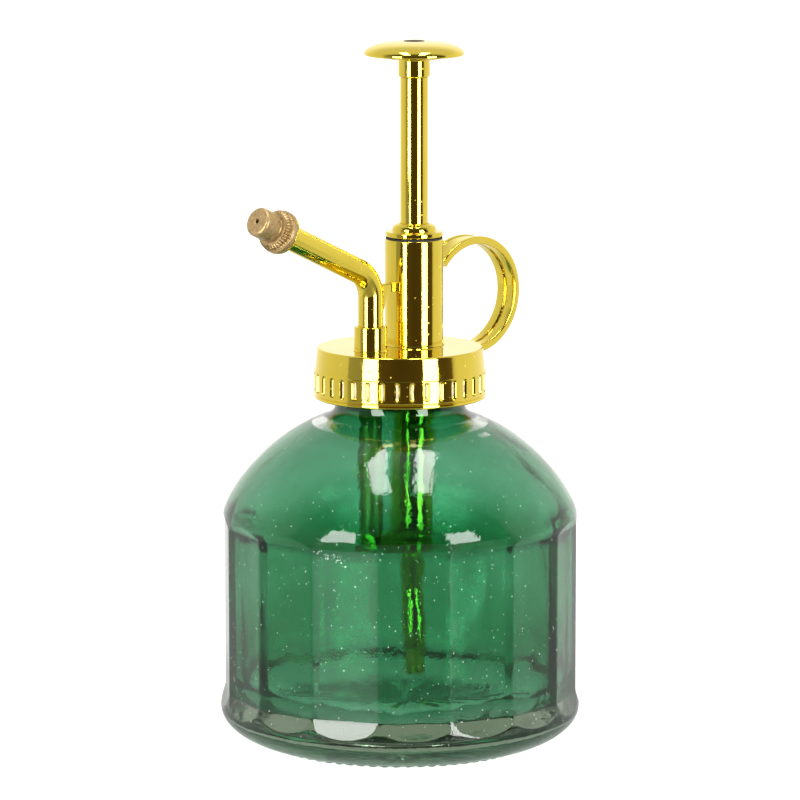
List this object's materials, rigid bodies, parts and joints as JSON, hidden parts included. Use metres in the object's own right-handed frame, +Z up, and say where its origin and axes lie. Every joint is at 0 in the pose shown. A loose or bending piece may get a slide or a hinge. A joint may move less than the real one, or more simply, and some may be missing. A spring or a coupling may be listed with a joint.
{
  "type": "hand mister",
  "caption": "Glass plant mister with a screw-on pump head, thumb plunger, finger ring and angled fine-spray nozzle.",
  "frame": {"origin": "middle of the bottle's flat underside, on the bottle's axis", "axes": "+Z up along the bottle's axis; the spout points towards -X and the finger ring towards +X"},
  "size_m": [0.0855, 0.0802, 0.1569],
  "materials": {
    "glass": "clear emerald green moulded glass with fine seed bubbles",
    "gold_plate": "mirror-polished yellow gold plating",
    "brass": "bare turned brass, satin, slightly speckled",
    "steel": "bright stainless spring and ball steel",
    "rubber": "matt black rubber"
  },
  "bodies": {
    "bottle": {"bottle": "glass"},
    "gasket": {"cap_gasket": "rubber"},
    "head": {"screw_cap": "gold_plate", "cap_nut": "brass", "pump_barrel": "gold_plate", "barrel_gland": "gold_plate", "gland_washer": "rubber", "rod_wiper": "rubber", "finger_ring": "gold_plate", "pump_cylinder": "gold_plate", "riser_tube": "gold_plate", "cylinder_foot": "brass", "dip_tube": "gold_plate", "spring_seat": "steel", "return_spring": "steel", "inlet_seat": "steel", "inlet_stop": "steel", "outlet_seat": "brass", "outlet_spring": "steel", "outlet_stop": "brass", "spout_socket": "gold_plate", "socket_seal": "rubber", "spout_tube": "gold_plate", "spout_flange": "gold_plate", "spout_brace": "gold_plate", "nozzle_stem": "brass", "nozzle_seal": "rubber", "swirl_core": "brass"},
    "plunger": {"plunger_knob": "gold_plate", "knob_screw": "brass", "piston_rod": "gold_plate", "rod_stop": "brass", "piston_head": "brass", "piston_seal": "rubber", "piston_nut": "brass"},
    "nozzle": {"nozzle_cap": "brass"},
    "inlet_valve": {"inlet_ball": "steel"},
    "outlet_valve": {"outlet_ball": "steel"}
  },
  "joints": [
    {"name": "cap_lift", "type": "slide", "parent": "bottle", "child": "gasket", "axis": [0, 0, 1], "range_m": [0, 0.09]},
    {"name": "cap_turn", "type": "hinge", "parent": "gasket", "child": "head", "pos_m": [0, 0, 0.0893], "axis": [0, 0, 1], "range_deg": [0, 540]},
    {"name": "plunger_press", "type": "slide", "parent": "head", "child": "plunger", "axis": [0, 0, 1], "range_m": [-0.03, 0], "stiffness_N_per_m": 120, "springref_m": 0.02, "deforming": ["return_spring"]},
    {"name": "nozzle_turn", "type": "hinge", "parent": "head", "child": "nozzle", "pos_m": [-0.04429, 0, 0.12128], "axis": [-0.9135, 0, 0.4067], "range_deg": [-360, 360]},
    {"name": "inlet_ball_lift", "type": "slide", "parent": "head", "child": "inlet_valve", "axis": [0, 0, 1], "range_m": [0, 0.001]},
    {"name": "outlet_ball_lift", "type": "slide", "parent": "head", "child": "outlet_valve", "axis": [0, 0, 1], "range_m": [0, 0.001], "stiffness_N_per_m": 50, "springref_m": -0.002, "deforming": ["outlet_spring"]}
  ]
}
